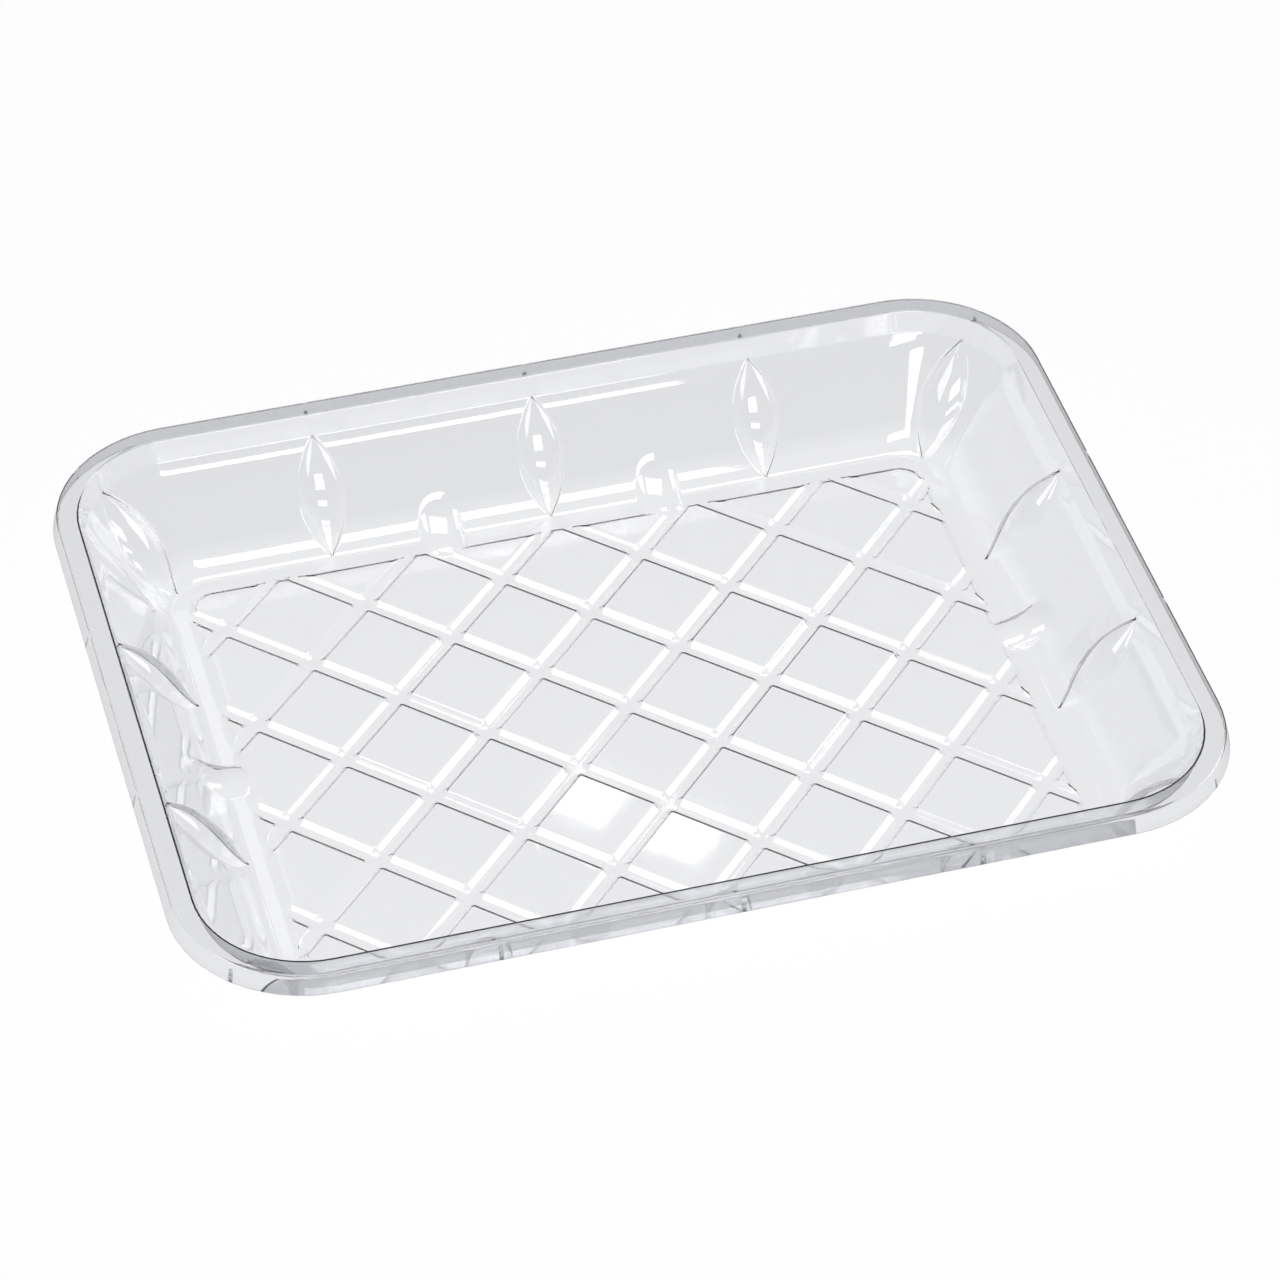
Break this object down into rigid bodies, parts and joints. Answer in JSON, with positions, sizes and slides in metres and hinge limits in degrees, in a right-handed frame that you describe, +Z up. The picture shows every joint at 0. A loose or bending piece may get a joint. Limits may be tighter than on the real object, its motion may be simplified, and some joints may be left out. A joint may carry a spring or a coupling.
{
  "type": "plastic food tray",
  "caption": "Clear thermoformed food tray with a flanged rim, ribbed sloping walls and a floor of raised diamond plates.",
  "frame": {"origin": "middle of the footprint, on the surface that the tray stands on", "axes": "+X along the tray's long side, +Y along its short side, +Z up out of its mouth"},
  "size_m": [0.2716, 0.2126, 0.0334],
  "materials": {
    "clear_pet": "clear glossy plastic sheet"
  },
  "bodies": {
    "root": {"tray": "clear_pet"}
  },
  "joints": []
}
